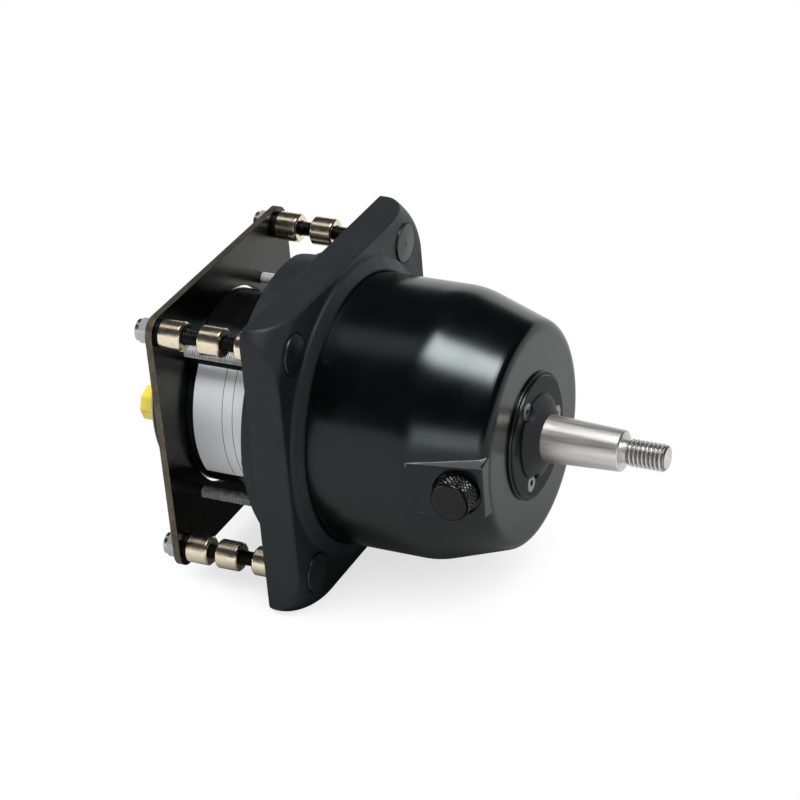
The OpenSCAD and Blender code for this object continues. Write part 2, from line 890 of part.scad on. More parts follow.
// Rubber seal with a lip round it and a nose that slopes up to the shaft
module shaft_seal() {
    top_x = front_x + retainer_h;
    bore_r = seal_journal_r + running;
    color("#26282a")
    difference() {
        turned([[bore_r, seal_rear_x], [seal_r, seal_rear_x], [seal_r, top_x], [seal_lip_r, top_x],
            [seal_lip_r, top_x + seal_lip_h - seal_lip_bevel],
            [seal_lip_r - seal_lip_bevel, top_x + seal_lip_h],
            [seal_nose_r, top_x + seal_nose_h], [bore_r, top_x + seal_nose_h]]);
        round_axis(retainer_screws_n, retainer_screw_r)
            rod(top_x, top_x + seal_nose_h, seal_notch_r, small_fn);
    }
}

// Bearing ring along X with a ball track cut into it
module grooved_ring(from_x, to_x, in_r, out_r) {
    difference() {
        rod(from_x, to_x, out_r);
        rod(from_x - cut, to_x + cut, in_r);
        translate([(from_x + to_x) / 2, 0, 0])
            rotate([0, 90, 0])
                rotate_extrude()
                    translate([ball_track_r, 0])
                        circle(r = ball_r + race_play, $fn = small_fn);
    }
}

// Outer ring of the front bearing, held in the nose
module bearing_outer_ring() {
    color("#c2c5c8")
    grooved_ring(bearing_rear_x, bearing_front_x, ball_track_r + race_gap, bearing_out_r - close);
}

// Balls of the front bearing
module bearing_balls() {
    color("#dcdedf")
    round_axis(ball_n, ball_track_r)
        translate([(bearing_rear_x + bearing_front_x) / 2, 0, 0])
            sphere(r = ball_r, $fn = small_fn);
}

// Inner ring of the front bearing, pushed on the shaft
module bearing_inner_ring() {
    color("#c2c5c8")
    grooved_ring(bearing_rear_x, bearing_front_x, bearing_bore_r + close, ball_track_r - race_gap);
}

// Open circlip as part of a ring, with its gap on -Y
module open_ring(from_x, in_r, out_r) {
    difference() {
        rod(from_x, from_x + circlip_t, out_r, small_fn);
        rod(from_x - cut, from_x + circlip_t + cut, in_r, small_fn);
        translate([from_x - cut, -2 * out_r, -circlip_width / 2])
            cube([circlip_t + 2 * cut, 2 * out_r, circlip_width]);
    }
}

// Circlip that keeps the front bearing in its seat
module bearing_circlip() {
    color("#3a3a3c")
    open_ring(bearing_rear_x - circlip_t, bearing_out_r - circlip_width, bearing_out_r + circlip_depth - slip);
}

// Steering shaft with a taper and a threaded end at the front and a drive flat at the rotor
module shaft() {
    mid_x = rotor_front_x + running;
    color("#c8cacb")
    difference() {
        turned([[0, cover_front_x - bush_len + slip], [shaft_tail_r, cover_front_x - bush_len + slip],
            [shaft_tail_r, rotor_rear_x], [rotor_seat_r, rotor_rear_x], [rotor_seat_r, mid_x],
            [shaft_mid_r, mid_x], [shaft_mid_r, bearing_rear_x - circlip_t], [bearing_bore_r - circlip_depth,
            bearing_rear_x - circlip_t], [bearing_bore_r - circlip_depth, bearing_rear_x],
            [bearing_bore_r, bearing_rear_x], [bearing_bore_r, bearing_front_x],
            [shaft_shoulder_r, bearing_front_x], [shaft_shoulder_r, bearing_front_x + shaft_shoulder_h],
            [seal_journal_r, bearing_front_x + shaft_shoulder_h], [seal_journal_r, taper_rear_x],
            [taper_small_r, taper_front_x - taper_chamfer], [taper_small_r - taper_chamfer, taper_front_x],
            [undercut_r, taper_front_x], [undercut_r, taper_front_x + undercut_len],
            [thread_r, taper_front_x + undercut_len], [thread_r, thread_end_x - thread_chamfer],
            [thread_r - thread_chamfer, thread_end_x], [0, thread_end_x]]);
        for (side = [-1, 1])
            translate([rotor_rear_x, -rotor_seat_r, side * (rotor_flat + rotor_seat_r) - rotor_seat_r])
                cube([mid_x - rotor_rear_x, 2 * rotor_seat_r, 2 * rotor_seat_r]);
    }
}

// Circlip that keeps the bearing on the shaft
module shaft_circlip() {
    color("#3a3a3c")
    open_ring(bearing_rear_x - circlip_t, bearing_bore_r - circlip_depth + close,
        bearing_bore_r + circlip_width / 2);
}

// Plain bush for the shaft's rear end
module rear_bush() {
    color("#a98b4a")
    difference() {
        rod(cover_front_x - bush_len, cover_front_x, bush_r, small_fn);
        rod(cover_front_x - bush_len - cut, cover_front_x + cut, shaft_tail_r + running, small_fn);
    }
}

// Tilted cup that drives the pistons, screwed to the pump body
module swash_plate() {
    color("#8d9093")
    difference() {
        rod(0, swash_front_x, swash_r);
        rod(-cut, swash_front_x + cut, swash_hole_r);
        tilted()
            rod(-swash_front_x * 2, 0, swash_pocket_r);
        round_axis(swash_screws_n, swash_screw_pcr, swash_screw_turn)
            rod(-cut, swash_front_x + cut, screw_r + slip, small_fn);
    }
}

// Screws that hold the swash plate, put in from the reservoir
module swash_screws() {
    color("#2a2a2c")
    round_axis(swash_screws_n, swash_screw_pcr, swash_screw_turn)
        mirror([1, 0, 0])
            cap_screw(-swash_front_x - cap_head_h, swash_front_x + disc_t - 2 * cut, screw_r);
}

// Flat thrust race in the tilted frame, with its track on one side
module thrust_race(from_x, track_x) {
    difference() {
        rod(from_x, from_x + race_t, race_out_r);
        rod(from_x - cut, from_x + race_t + cut, race_in_r);
        translate([track_x, 0, 0])
            rotate([0, 90, 0])
                rotate_extrude()
                    translate([thrust_track_r, 0])
                        circle(r = thrust_ball_r + race_play, $fn = small_fn);
    }
}

// Race that rests on the floor of the swash plate's pocket
module swash_race() {
    color("#b4b7ba")
    tilted()
        thrust_race(-race_t, -race_t - race_space / 2);
}

// Balls between the two thrust races
module thrust_balls() {
    color("#dcdedf")
    tilted()
        round_axis(thrust_ball_n, thrust_track_r)
            translate([-race_t - race_space / 2, 0, 0])
                sphere(r = thrust_ball_r, $fn = small_fn);
}

// Race that the pistons press on
module piston_race() {
    color("#b4b7ba")
    tilted()
        thrust_race(-2 * race_t - race_space, -race_t - race_space / 2);
}

// Cylinder block on the shaft's flats
module rotor() {
    color("#8a8478")
    difference() {
        rod(rotor_rear_x, rotor_front_x, rotor_r);
        intersection() {
            rod(rotor_rear_x - cut, rotor_front_x + cut, rotor_seat_r + close);
            translate([rotor_rear_x - cut, -rotor_r, -rotor_flat - close])
                cube([rotor_front_x - rotor_rear_x + 2 * cut, 2 * rotor_r, 2 * (rotor_flat + close)]);
        }
        round_axis(pistons_n, piston_pcr) {
            rod(piston_bore_rear_x, rotor_front_x + cut, piston_r + close, small_fn);
            rod(rotor_rear_x - cut, rotor_front_x, piston_feed_r, small_fn);
        }
    }
}

// Pistons with rounded ends
module pistons() {
    color("#c6c8ca")
    round_axis(pistons_n, piston_pcr)
        turned(concat(
            [[0, piston_rear_x], [piston_r, piston_rear_x]],
            rounded([piston_r, piston_rear_x], [piston_r, piston_tip_x], [0, piston_tip_x], piston_r / 2),
            [[0, piston_tip_x]]));
}

// Springs behind the pistons
module piston_springs() {
    color("#9a9c9e")
    round_axis(pistons_n, piston_pcr)
        coil_spring(piston_bore_rear_x + close, piston_rear_x - close, piston_spring_r, spring_wire_r,
            spring_coils);
}

// Distributor plate with two curved oil slots
module valve_plate() {
    color("#a08f63")
    difference() {
        rod(cover_front_x, cover_front_x + valve_plate_t, valve_plate_r);
        rod(cover_front_x - cut, cover_front_x + valve_plate_t + cut, valve_hole_r);
        for (turn = [0, 180])
            rotate([turn, 0, 0])
                kidney();
        round_axis(2, dowel_pcr)
            rod(cover_front_x - cut, cover_front_x + dowel_len / 2, dowel_r + close, small_fn);
    }
}

// Curved slot through the distributor plate, above the shaft
module kidney() {
    translate([cover_front_x - cut, 0, 0])
        rotate([0, 90, 0])
            rotate([0, 0, 180 - kidney_half_angle])
                rotate_extrude(angle = 2 * kidney_half_angle)
                    translate([piston_pcr - kidney_r, 0])
                        square([2 * kidney_r, valve_plate_t + 2 * cut]);
}

// Dowels that keep the distributor plate from turning
module valve_dowels() {
    color("#b9bcbe")
    round_axis(2, dowel_pcr)
        rod(cover_front_x - dowel_len / 2, cover_front_x + dowel_len / 2, dowel_r, small_fn);
}

// Frame of the lock valve: local Z runs along its bore
module valve_axis() {
    translate([valve_x, valve_y, 0])
        children();
}

// Solid of revolution about the lock valve's bore, from [radius, z] points
module valve_turned(points) {
    valve_axis()
        rotate_extrude($fn = small_fn)
            polygon(points);
}

// Spool that opens the return side, with a pin on each end
module lock_spool() {
    r = valve_bore_r - running / 2;
    land = spool_half / 2;
    color("#c2c4c6")
    valve_turned([[0, -spool_pin_end], [spool_pin_r, -spool_pin_end], [spool_pin_r, -spool_half],
        [r, -spool_half], [r, -land], [spool_neck_r, -land], [spool_neck_r, land], [r, land], [r, spool_half],
        [spool_pin_r, spool_half], [spool_pin_r, spool_pin_end], [0, spool_pin_end]]);
}

// Ring seats on both sides of the spool
module valve_seats() {
    color("#a98b4a")
    for (side = [0, 1])
        mirror([0, 0, side])
            valve_turned([[seat_hole_r, seat_from], [valve_bore_r - seat_play, seat_from],
                [valve_bore_r - seat_play, seat_to], [seat_hole_r, seat_to]]);
}

// Cone valve that rests on a seat, with a stem inside its spring
module poppet() {
    base = seat_to + running;
    shoulder = base + poppet_cone_h;
    valve_turned([[0, base], [seat_hole_r + cut, base], [poppet_r, shoulder], [poppet_r, poppet_tail_z],
        [poppet_stem_r, poppet_tail_z], [poppet_stem_r, poppet_stem_end], [0, poppet_stem_end]]);
}

// Check valve above the spool
module poppet_upper() {
    color("#c9cbcd") poppet();
}

// Check valve below the spool
module poppet_lower() {
    color("#c9cbcd") mirror([0, 0, 1]) poppet();
}

// Spring between a poppet and its plug
module poppet_spring() {
    valve_axis()
        rotate([0, -90, 0])
            coil_spring(poppet_tail_z + close, spring_room_end - close, poppet_r - slip, spring_wire_r,
                spring_coils - 1);
}

// Spring of the upper poppet
module poppet_spring_upper() {
    color("#9a9c9e") poppet_spring();
}

// Spring of the lower poppet
module poppet_spring_lower() {
    color("#9a9c9e") mirror([0, 0, 1]) poppet_spring();
}

// Socket plugs that close the ends of the lock valve's bore
module valve_plugs() {
    color("#8d8f91")
    for (side = [0, 1])
        mirror([0, 0, side])
            valve_axis()
                translate([0, 0, spring_room_end])
                    difference() {
                        cylinder(h = valve_plug_len, r = valve_bore_r - seat_play, $fn = small_fn);
                        translate([0, 0, valve_plug_len / 2])
                            cylinder(h = valve_plug_len, r = valve_bore_r / 2, $fn = 6);
                    }
}

// Knurled filler plug with a domed top
module filler_plug() {
    top = knob_base_y + knob_h;
    r = knob_d / 2;
    color("#161718")
    filler_axis()
        difference() {
            union() {
                rotate_extrude()
                    polygon(concat(
                        [[0, knob_base_y], [r, knob_base_y]],
                        rounded([r, knob_base_y], [r, top - knob_dome], [0, top], knob_edge),
                        [[0, top]]));
                translate([0, 0, knob_base_y - filler_stem_len])
                    cylinder(h = filler_stem_len + cut, r = filler_stem_r);
            }
            for (i = [0:knurl_n - 1])
                rotate([0, 0, 360 * i / knurl_n])
                    translate([r + knurl_r / 3, 0, knob_base_y - cut])
                        cylinder(h = knob_h - 2 * knob_dome + cut, r = knurl_r, $fn = 16);
        }
}

// Flat rubber ring under the filler plug
module filler_seal() {
    color("#0e0e0f")
    filler_axis()
        translate([0, 0, filler_floor_y])
            difference() {
                cylinder(h = filler_seal_t - running, r = filler_seal_r, $fn = small_fn);
                translate([0, 0, -cut])
                    cylinder(h = filler_seal_t + 2 * cut, r = filler_stem_r + slip, $fn = small_fn);
            }
}

nose_housing();
mounting_flange();
bolt_caps();
corner_bolts();
rear_spacers();
middle_spacers();
front_spacers();
plate_washers();
back_plate();
lock_nuts();
nut_inserts();
plate_studs();
stud_nuts();
pump_body();
rear_cover();
cover_screws();
housing_screws();
body_seal_ring();
rating_label();
transport_caps();
seal_retainer();
retainer_screws();
shaft_seal();
bearing_outer_ring();
bearing_balls();
bearing_inner_ring();
bearing_circlip();
shaft();
shaft_circlip();
rear_bush();
swash_plate();
swash_screws();
swash_race();
thrust_balls();
piston_race();
rotor();
pistons();
piston_springs();
valve_plate();
valve_dowels();
lock_spool();
valve_seats();
poppet_upper();
poppet_lower();
poppet_spring_upper();
poppet_spring_lower();
valve_plugs();
filler_plug();
filler_seal();
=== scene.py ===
"""Looks of the hydraulic helm pump: materials, threads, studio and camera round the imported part."""

import json
import math

import bpy
from mathutils import Matrix, Vector


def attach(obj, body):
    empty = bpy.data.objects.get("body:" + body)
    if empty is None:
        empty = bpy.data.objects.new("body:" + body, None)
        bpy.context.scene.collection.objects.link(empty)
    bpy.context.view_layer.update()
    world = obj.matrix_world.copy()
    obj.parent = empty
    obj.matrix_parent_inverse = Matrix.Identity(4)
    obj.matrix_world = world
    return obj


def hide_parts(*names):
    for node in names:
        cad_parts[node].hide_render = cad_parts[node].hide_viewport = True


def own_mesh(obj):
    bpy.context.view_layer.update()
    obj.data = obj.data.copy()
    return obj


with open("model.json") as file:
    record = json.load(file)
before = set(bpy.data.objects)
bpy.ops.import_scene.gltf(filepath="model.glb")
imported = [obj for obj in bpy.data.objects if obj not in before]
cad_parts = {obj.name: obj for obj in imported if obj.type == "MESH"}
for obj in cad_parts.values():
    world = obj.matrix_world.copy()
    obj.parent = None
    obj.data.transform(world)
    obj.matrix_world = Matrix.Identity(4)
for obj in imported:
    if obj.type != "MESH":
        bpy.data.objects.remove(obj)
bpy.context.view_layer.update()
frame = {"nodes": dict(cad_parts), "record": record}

SCENE = bpy.context.scene
MM = 0.001

# Places and sizes on the part, in millimetres
RIDGE_X = 60.0  # where the nose's taper starts
FILLER_X = 80.3  # axis of the filler plug, which points to -Y
FILLER_Z = 0.4
POCKET_R = 10.3  # pocket round the filler plug
BOSS_Y = -42.5  # the filler boss lies beyond this plane
BOSS_HALF = 17.0  # room for the boss each side of the plug's axis
BOSS_FRONT_X = 89.9
KNOB_BASE = 48.832  # heights of the plug along -Y
KNOB_TOP = 57.832
KNOB_R = 8.0
BOLT_HALF = 49.497  # corner bolts and plate studs stand on squares round the X axis
STUD_HALF = 32.81
CORNERS = [(-1, 1), (1, 1), (-1, -1), (1, -1)]
THREAD_START_X = 131.3  # first groove of the shaft's thread
LABEL_LINES_X = (-26.8, -22.2)

# The camera: angles in degrees and lengths in metres, found by fitting the part's measured points to the
# photograph
VIEW_AZIMUTH = 27.85
VIEW_ELEVATION = 29.49
VIEW_ROLL = -4.88
VIEW_DISTANCE = 1.16509
VIEW_TARGET = Vector((0.0329, 0.0, 0.00584))
SENSOR_MM = 36.0
FOCAL_PX = 2910.37
IMAGE_PX = 800

# The studio, in metres
FLOOR_Z = -0.0642
SHADE_REACH = 0.2
LIGHT_AIM = Vector((0.03, 0.0, 0.0))
LAYER_GAP = 0.002

# Surfaces
COOL = (0.87, 1.0, 0.99, 1.0)
PAINT_PATCHES = 45
PEEL_SCALE = 1300
PEEL_DEPTH = 0.00001
BOSS_EDGE = 0.0008  # rounding of the boss's edges and of the nose's ridge, in metres
RIDGE_EDGE = 0.005
CREASE = math.radians(40.0)


def add_camera():
    """The camera at the photograph's place."""
    a, e, r = (math.radians(v) for v in (VIEW_AZIMUTH, VIEW_ELEVATION, VIEW_ROLL))
    back = Vector((math.sin(a) * math.cos(e), -math.cos(a) * math.cos(e), math.sin(e)))
    right = Vector((math.cos(a), math.sin(a), 0.0))
    up = back.cross(right)
    image_right = right * math.cos(r) + up * math.sin(r)
    image_up = up * math.cos(r) - right * math.sin(r)
    data = bpy.data.cameras.new("camera")
    data.sensor_width = SENSOR_MM
    data.lens = SENSOR_MM * FOCAL_PX / IMAGE_PX
    data.clip_end = 200.0
    camera = bpy.data.objects.new("camera", data)
    axes = Matrix((image_right, image_up, back)).transposed().to_4x4()
    camera.matrix_world = Matrix.Translation(VIEW_TARGET + back * VIEW_DISTANCE) @ axes
    SCENE.collection.objects.link(camera)
    SCENE.camera = camera


class Shader:
    """One Principled material and the nodes that feed it. Places and lengths are in metres."""

    def __init__(self, name, **sockets):
        self.material = bpy.data.materials.new(name)
        self.material.use_nodes = True
        self.nodes = self.material.node_tree.nodes
        self.links = self.material.node_tree.links
        self.bsdf = self.nodes["Principled BSDF"]
        coordinates = self.nodes.new("ShaderNodeTexCoord")
        self.place = coordinates.outputs["Object"]
        self.normal = coordinates.outputs["Normal"]
        self.set(**sockets)

    def set(self, **sockets):
        """Sets constants on the Principled node: base_color=... stands for "Base Color"."""
        for key, value in sockets.items():
            name = " ".join(w if w.isupper() else w.capitalize() for w in key.split("_"))
            self.bsdf.inputs[name].default_value = value

    def link(self, source, socket):
        """Feeds a socket of the Principled node."""
        self.links.new(source, self.bsdf.inputs[socket])

    def noise(self, scale, detail=3.0, stretch=(1, 1, 1)):
        """Noise over the part's own coordinates, scaled on each axis."""
        mapping = self.nodes.new("ShaderNodeMapping")
        mapping.inputs["Scale"].default_value = stretch
        self.links.new(self.place, mapping.inputs["Vector"])
        node = self.nodes.new("ShaderNodeTexNoise")
        node.inputs["Scale"].default_value = scale
        node.inputs["Detail"].default_value = detail
        self.links.new(mapping.outputs["Vector"], node.inputs["Vector"])
        return node.outputs["Fac"]

    def spread(self, fac, low, high, from_low=0.3, from_high=0.7):
        """A value between from_low and from_high, which noise usually is, mapped to the range low to high."""
        node = self.nodes.new("ShaderNodeMapRange")
        limits = {"From Min": from_low, "From Max": from_high, "To Min": low, "To Max": high}
        for socket, value in limits.items():
            node.inputs[socket].default_value = value
        self.links.new(fac, node.inputs["Value"])
        return node.outputs["Result"]

    def ramp(self, fac, stops):
        """A colour ramp from (place, (r, g, b)) stops."""
        node = self.nodes.new("ShaderNodeValToRGB")
        elements = node.color_ramp.elements
        while len(elements) < len(stops):
            elements.new(0.5)
        for element, (place, rgb) in zip(elements, stops):
            element.position = place
            element.color = (*rgb, 1.0)
        self.links.new(fac, node.inputs["Fac"])
        return node.outputs["Color"]

    def mix(self, fac, a, b):
        """A colour from a to b by a factor; a and b are sockets or (r, g, b)."""
        node = self.nodes.new("ShaderNodeMix")
        node.data_type = "RGBA"
        self.links.new(fac, node.inputs["Factor"])
        for socket, value in ((node.inputs[6], a), (node.inputs[7], b)):
            if isinstance(value, bpy.types.NodeSocket):
                self.links.new(value, socket)
            else:
                socket.default_value = (*value, 1.0)
        return node.outputs[2]

    def math(self, operation, a, b=None):
        """A Math node on two sockets or numbers."""
        node = self.nodes.new("ShaderNodeMath")
        node.operation = operation
        for socket, value in zip(node.inputs, (a, b)):
            if isinstance(value, bpy.types.NodeSocket):
                self.links.new(value, socket)
            elif value is not None:
                socket.default_value = value
        return node.outputs[0]

    def all_of(self, first, *others):
        """1 where every condition is 1."""
        for condition in others:
            first = self.math("MULTIPLY", first, condition)
        return first

    def axis(self, source, name):
        """One axis of a vector."""
        node = self.nodes.new("ShaderNodeSeparateXYZ")
        self.links.new(source, node.inputs[0])
        return node.outputs[name]

    def facing_x(self):
        """How far the surface faces along the X axis, 0 to 1."""
        return self.math("ABSOLUTE", self.axis(self.normal, "X"))

    def length(self, a, b):
        """Length of the vector (a, b)."""
        squares = [self.math("MULTIPLY", side, side) for side in (a, b)]
        return self.math("SQRT", self.math("ADD", *squares))

    def off_axes(self, half):
        """Distance from the nearest of the axes along X at +-half in Y and in Z."""
        sizes = [self.math("ABSOLUTE", self.axis(self.place, name)) for name in "YZ"]
        return self.length(*(self.math("SUBTRACT", size, half) for size in sizes))

    def round_filler(self):
        """X, Y, height over the filler plug's axis and distance from that axis."""
        x, y, z = (self.axis(self.place, name) for name in "XYZ")
        above = self.math("SUBTRACT", z, FILLER_Z * MM)
        return x, y, above, self.length(self.math("SUBTRACT", x, FILLER_X * MM), above)

    def vary(self, rgb, share, scale):
        """The base colour, darker and lighter by a share in soft patches."""
        low = tuple(c * (1 - share) for c in rgb)
        high = tuple(c * (1 + share) for c in rgb)
        self.link(self.ramp(self.noise(scale), two_tone(low, high)), "Base Color")

    def roughen(self, low, high, scale, detail=4.0, stretch=(1, 1, 1)):
        """Roughness that changes in soft patches."""
        self.link(self.spread(self.noise(scale, detail, stretch), low, high), "Roughness")

    def bump(self, scale, depth, stretch=(1, 1, 1), edge=0.0):
        """Fine relief of a depth, on edges rounded by a radius. Returns the node that rounds them, if any."""
        node = self.nodes.new("ShaderNodeBump")
        node.inputs["Strength"].default_value = 1.0
        node.inputs["Distance"].default_value = depth
        self.links.new(self.noise(scale, 2.0, stretch), node.inputs["Height"])
        self.link(node.outputs["Normal"], "Normal")
        if not edge:
            return None
        bevel = self.nodes.new("ShaderNodeBevel")
        bevel.samples = 8
        bevel.inputs["Radius"].default_value = edge
        self.links.new(bevel.outputs["Normal"], node.inputs["Normal"])
        return bevel

    def sharpness(self, bevel):
        """1 on the edges that a bevel node rounds, 0 on smooth faces."""
        turn = self.nodes.new("ShaderNodeVectorMath")
        turn.operation = "DOT_PRODUCT"
        self.links.new(bevel.outputs["Normal"], turn.inputs[0])
        self.links.new(self.nodes.new("ShaderNodeNewGeometry").outputs["Normal"], turn.inputs[1])
        return self.spread(turn.outputs["Value"], 1.0, 0.0, 0.8, 0.96)

    def brush_round_x(self):
        """Brushing that runs round the X axis, for turned parts."""
        self.set(anisotropic=0.5)
        node = self.nodes.new("ShaderNodeTangent")
        node.direction_type = "RADIAL"
        node.axis = "X"
        self.link(node.outputs["Tangent"], "Tangent")


def two_tone(low, high):
    """Colour stops for soft patches."""
    return [(0.3, low), (0.7, high)]


def painted(name, rgb, low, high, peel=PEEL_DEPTH, level=0.5, edge=0.0005, face_level=None):
    """Black paint with orange peel, duller patches and a cool sheen, which can differ on flat fronts."""
    s = Shader(name, IOR=1.5, specular_IOR_level=level, specular_tint=COOL)
    if face_level is not None:
        s.link(s.spread(s.facing_x(), level, face_level, 0.8, 0.95), "Specular IOR Level")
    s.vary(rgb, 0.25, 60)
    s.roughen(low, high, PAINT_PATCHES)
    s.bump(PEEL_SCALE, peel, edge=edge)
    return s.material


def moulded(name, rgb, low, high, grain=0.00002, grain_scale=2600, level=0.5, edge=0.0006):
    """Moulded plastic with a fine spark-eroded grain."""
    s = Shader(name, IOR=1.48, specular_IOR_level=level)
    s.vary(rgb, 0.12, 70)
    s.roughen(low, high, 120)
    s.bump(grain_scale, grain, edge=edge)
    return s.material


def metal(name, stops, low, high, scale=90, stretch=(1, 1, 1), scratch=0.000002, turned=False, edge=0.0,
          roots=None, metallic=1.0):
    """Bare or plated metal with patches of tint and fine scratches, and painted shade in the thread roots.

    roots is (distance of the axes from the middle, X where the thread begins, radius of a dark root, radius of a
    clean crest, colour of the painted shade in a root), in metres."""
    s = Shader(name, metallic=metallic)
    tint = s.ramp(s.noise(scale, 3.0, stretch), stops)
    # Painted shade: the thread roots are darkened towards the given colour
    if roots:
        half, start, root, crest, painted_root_shade = roots
        sunk = s.spread(s.off_axes(half), 1.0, 0.0, root, crest)
        on_flank = s.math("LESS_THAN", s.facing_x(), 0.9)
        past_start = s.math("GREATER_THAN", s.axis(s.place, "X"), start)
        tint = s.mix(s.all_of(sunk, on_flank, past_start), tint, painted_root_shade)
    s.link(tint, "Base Color")
    s.roughen(low, high, scale * 2, 5.0, stretch)
    s.bump(scale * 12, scratch, stretch, edge)
    if turned:
        s.brush_round_x()
    return s.material


def housing(name):
    """Gloss black paint on the nose, soft over the ridge, with a painted highlight of light grey along the edges
    of the filler boss and on its faces that face up.
    """
    s = Shader(name, IOR=1.5, specular_IOR_level=0.36, specular_tint=COOL)
    s.roughen(0.17, 0.26, PAINT_PATCHES)
    bevel = s.bump(PEEL_SCALE, PEEL_DEPTH, edge=BOSS_EDGE)
    x, y, above, away = s.round_filler()
    aside = s.math("ABSOLUTE", above)
    from_ridge = s.math("ABSOLUTE", s.math("SUBTRACT", x, RIDGE_X * MM))
    soft = s.all_of(s.spread(from_ridge, 1.0, 0.0, 0.004, 0.009), s.spread(aside, 0.0, 1.0, 0.011, 0.018))
    s.links.new(s.spread(soft, BOSS_EDGE, RIDGE_EDGE, 0.0, 1.0), bevel.inputs["Radius"])
    on_boss = s.all_of(
        s.math("LESS_THAN", y, BOSS_Y * MM),
        s.math("GREATER_THAN", away, POCKET_R * MM),
        s.math("LESS_THAN", aside, BOSS_HALF * MM),
        s.math("LESS_THAN", x, BOSS_FRONT_X * MM),
    )
    # Painted highlight: light grey on the boss's edges and on its faces that face up
    facing_up = s.spread(s.axis(s.normal, "Z"), 0.0, 0.1, 0.6, 0.75)
    painted_highlight = s.math("MAXIMUM", s.sharpness(bevel), facing_up)
    black = s.ramp(s.noise(60), two_tone((0.0008, 0.0012, 0.0013), (0.0016, 0.0022, 0.0024)))
    s.link(s.mix(s.all_of(on_boss, painted_highlight), black, (0.6, 0.62, 0.62)), "Base Color")
    return s.material


def knob_plastic(name):
    """Black plug with knurl crests painted lighter, partly scuffing and partly a painted highlight, and a dull rim
    round its top.
    """
    s = Shader(name, IOR=1.48)
    _, y, above, away = s.round_filler()
    rim = s.all_of(
        s.math("GREATER_THAN", away, (KNOB_R - 0.7) * MM),
        s.math("LESS_THAN", above, 4.5 * MM),
        s.math("LESS_THAN", y, -(KNOB_TOP - 1.0) * MM),
    )
    on_side = s.math("GREATER_THAN", y, -(KNOB_TOP - 2.0) * MM)
    # Painted highlight, with some scuffing: the knurl's crests are lighter than its grooves
    crest = s.all_of(on_side, s.spread(away, 0.0, 1.0, (KNOB_R - 0.2) * MM, (KNOB_R - 0.05) * MM))
    black = s.ramp(s.noise(70), two_tone((0.0034, 0.0036, 0.0038), (0.0045, 0.0047, 0.005)))
    s.link(s.mix(crest, black, (0.05, 0.052, 0.054)), "Base Color")
    s.link(s.spread(rim, 0.26, 0.02, 0.0, 1.0), "Specular IOR Level")
    s.roughen(0.14, 0.24, 120)
    s.bump(1400, 0.000004)
    return s.material


def flange_plastic(name):
    """Matte bluish black moulding with soft front folds and crisp edges at its back."""
    s = Shader(name, IOR=1.48, specular_IOR_level=0.33)
    s.vary((0.0098, 0.0138, 0.0158), 0.12, 70)
    s.roughen(0.44, 0.56, 120)
    soft, crisp = 0.002, 0.0002
    bevel = s.bump(2600, 0.00002, edge=soft)
    s.links.new(s.spread(s.axis(s.place, "X"), crisp, soft, 0.002, 0.004), bevel.inputs["Radius"])
    return s.material


def sheet(name):
    """Dark passivated sheet, half mirror on its faces and browner and rougher on its cut edges."""
    s = Shader(name, metallic=1.0)
    face = s.ramp(s.noise(30), two_tone((0.034, 0.0345, 0.031), (0.054, 0.0545, 0.05)))
    cut = s.ramp(s.noise(300, 4.0), two_tone((0.09, 0.076, 0.056), (0.16, 0.136, 0.104)))
    on_face = s.spread(s.facing_x(), 0.0, 1.0, 0.6, 0.8)
    s.link(s.mix(on_face, cut, face), "Base Color")
    dull_cut = s.spread(on_face, 0.3, 0.0, 0.0, 1.0)
    s.link(s.math("ADD", dull_cut, s.spread(s.noise(60, 5.0), 0.18, 0.3)), "Roughness")
    s.bump(900, 0.000002, edge=0.0005)
    return s.material


def bare_label(name):
    """Silvered label with two plain column lines, and nothing printed on it."""
    s = Shader(name, IOR=1.45)
    x = s.axis(s.place, "X")
    half_width = 0.14 * MM
    lines = [s.math("LESS_THAN", s.math("ABSOLUTE", s.math("SUBTRACT", x, place * MM)), half_width)
             for place in LABEL_LINES_X]
    silver = s.ramp(s.noise(60, 4.0), two_tone((0.88, 0.89, 0.91), (0.93, 0.94, 0.96)))
    s.link(s.mix(s.math("MAXIMUM", *lines), silver, (0.05, 0.05, 0.055)), "Base Color")
    s.roughen(0.3, 0.42, 200)
    s.bump(2500, 0.000003)
    return s.material


# Plating in soft patches of straw, yellow, pink and green
YELLOW_ZINC = [(0.25, (0.58, 0.53, 0.36)), (0.45, (0.8, 0.74, 0.53)),
               (0.6, (0.78, 0.66, 0.52)), (0.75, (0.6, 0.65, 0.47))]
ZINC = two_tone((0.4, 0.41, 0.42), (0.54, 0.55, 0.56))
PALE_ZINC = two_tone((0.8, 0.81, 0.82), (0.9, 0.91, 0.92))
OXIDE = two_tone((0.02, 0.02, 0.021), (0.045, 0.044, 0.045))
SCREW_STEEL = two_tone((0.2, 0.2, 0.2), (0.28, 0.28, 0.28))
SHAFT_STEEL = two_tone((0.57, 0.56, 0.535), (0.76, 0.75, 0.72))
BALL_STEEL = two_tone((0.52, 0.53, 0.54), (0.68, 0.69, 0.7))
BRONZE = two_tone((0.38, 0.25, 0.1), (0.55, 0.39, 0.18))
IRON = two_tone((0.16, 0.155, 0.145), (0.27, 0.26, 0.245))

# Thread roots with their painted shade, as metal() takes them; the studs are threaded over their whole length
STUD_ROOTS = (STUD_HALF * MM, -1.0, 0.00208, 0.00244, (0.14, 0.14, 0.14))
SHAFT_ROOTS = (0.0, THREAD_START_X * MM, 0.0046, 0.0054, (0.2, 0.197, 0.19))

